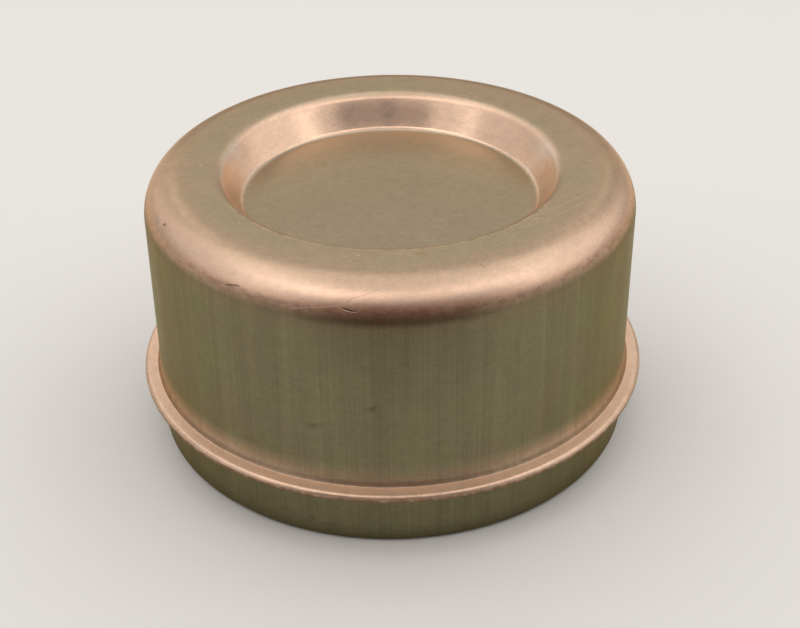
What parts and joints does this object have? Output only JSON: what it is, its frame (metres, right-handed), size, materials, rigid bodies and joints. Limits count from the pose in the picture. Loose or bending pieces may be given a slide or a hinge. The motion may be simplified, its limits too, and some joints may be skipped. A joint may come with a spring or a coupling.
{
  "type": "hub grease cap",
  "caption": "Deep-drawn sheet metal cap with a dished crown, a folded stop flange and a short press-fit skirt that closes a wheel hub's bearing bore.",
  "frame": {"origin": "centre of the open rim, on the plane that the cap stands on", "axes": "+Z along the cap's own axis from the open rim towards the crown; X and Y are free, because the cap is round"},
  "size_m": [0.0736, 0.0736, 0.0397],
  "materials": {
    "plated_steel": "drawn sheet steel with a dull yellowish zinc plating, lightly scuffed"
  },
  "bodies": {
    "root": {"grease_cap": "plated_steel"}
  },
  "joints": []
}
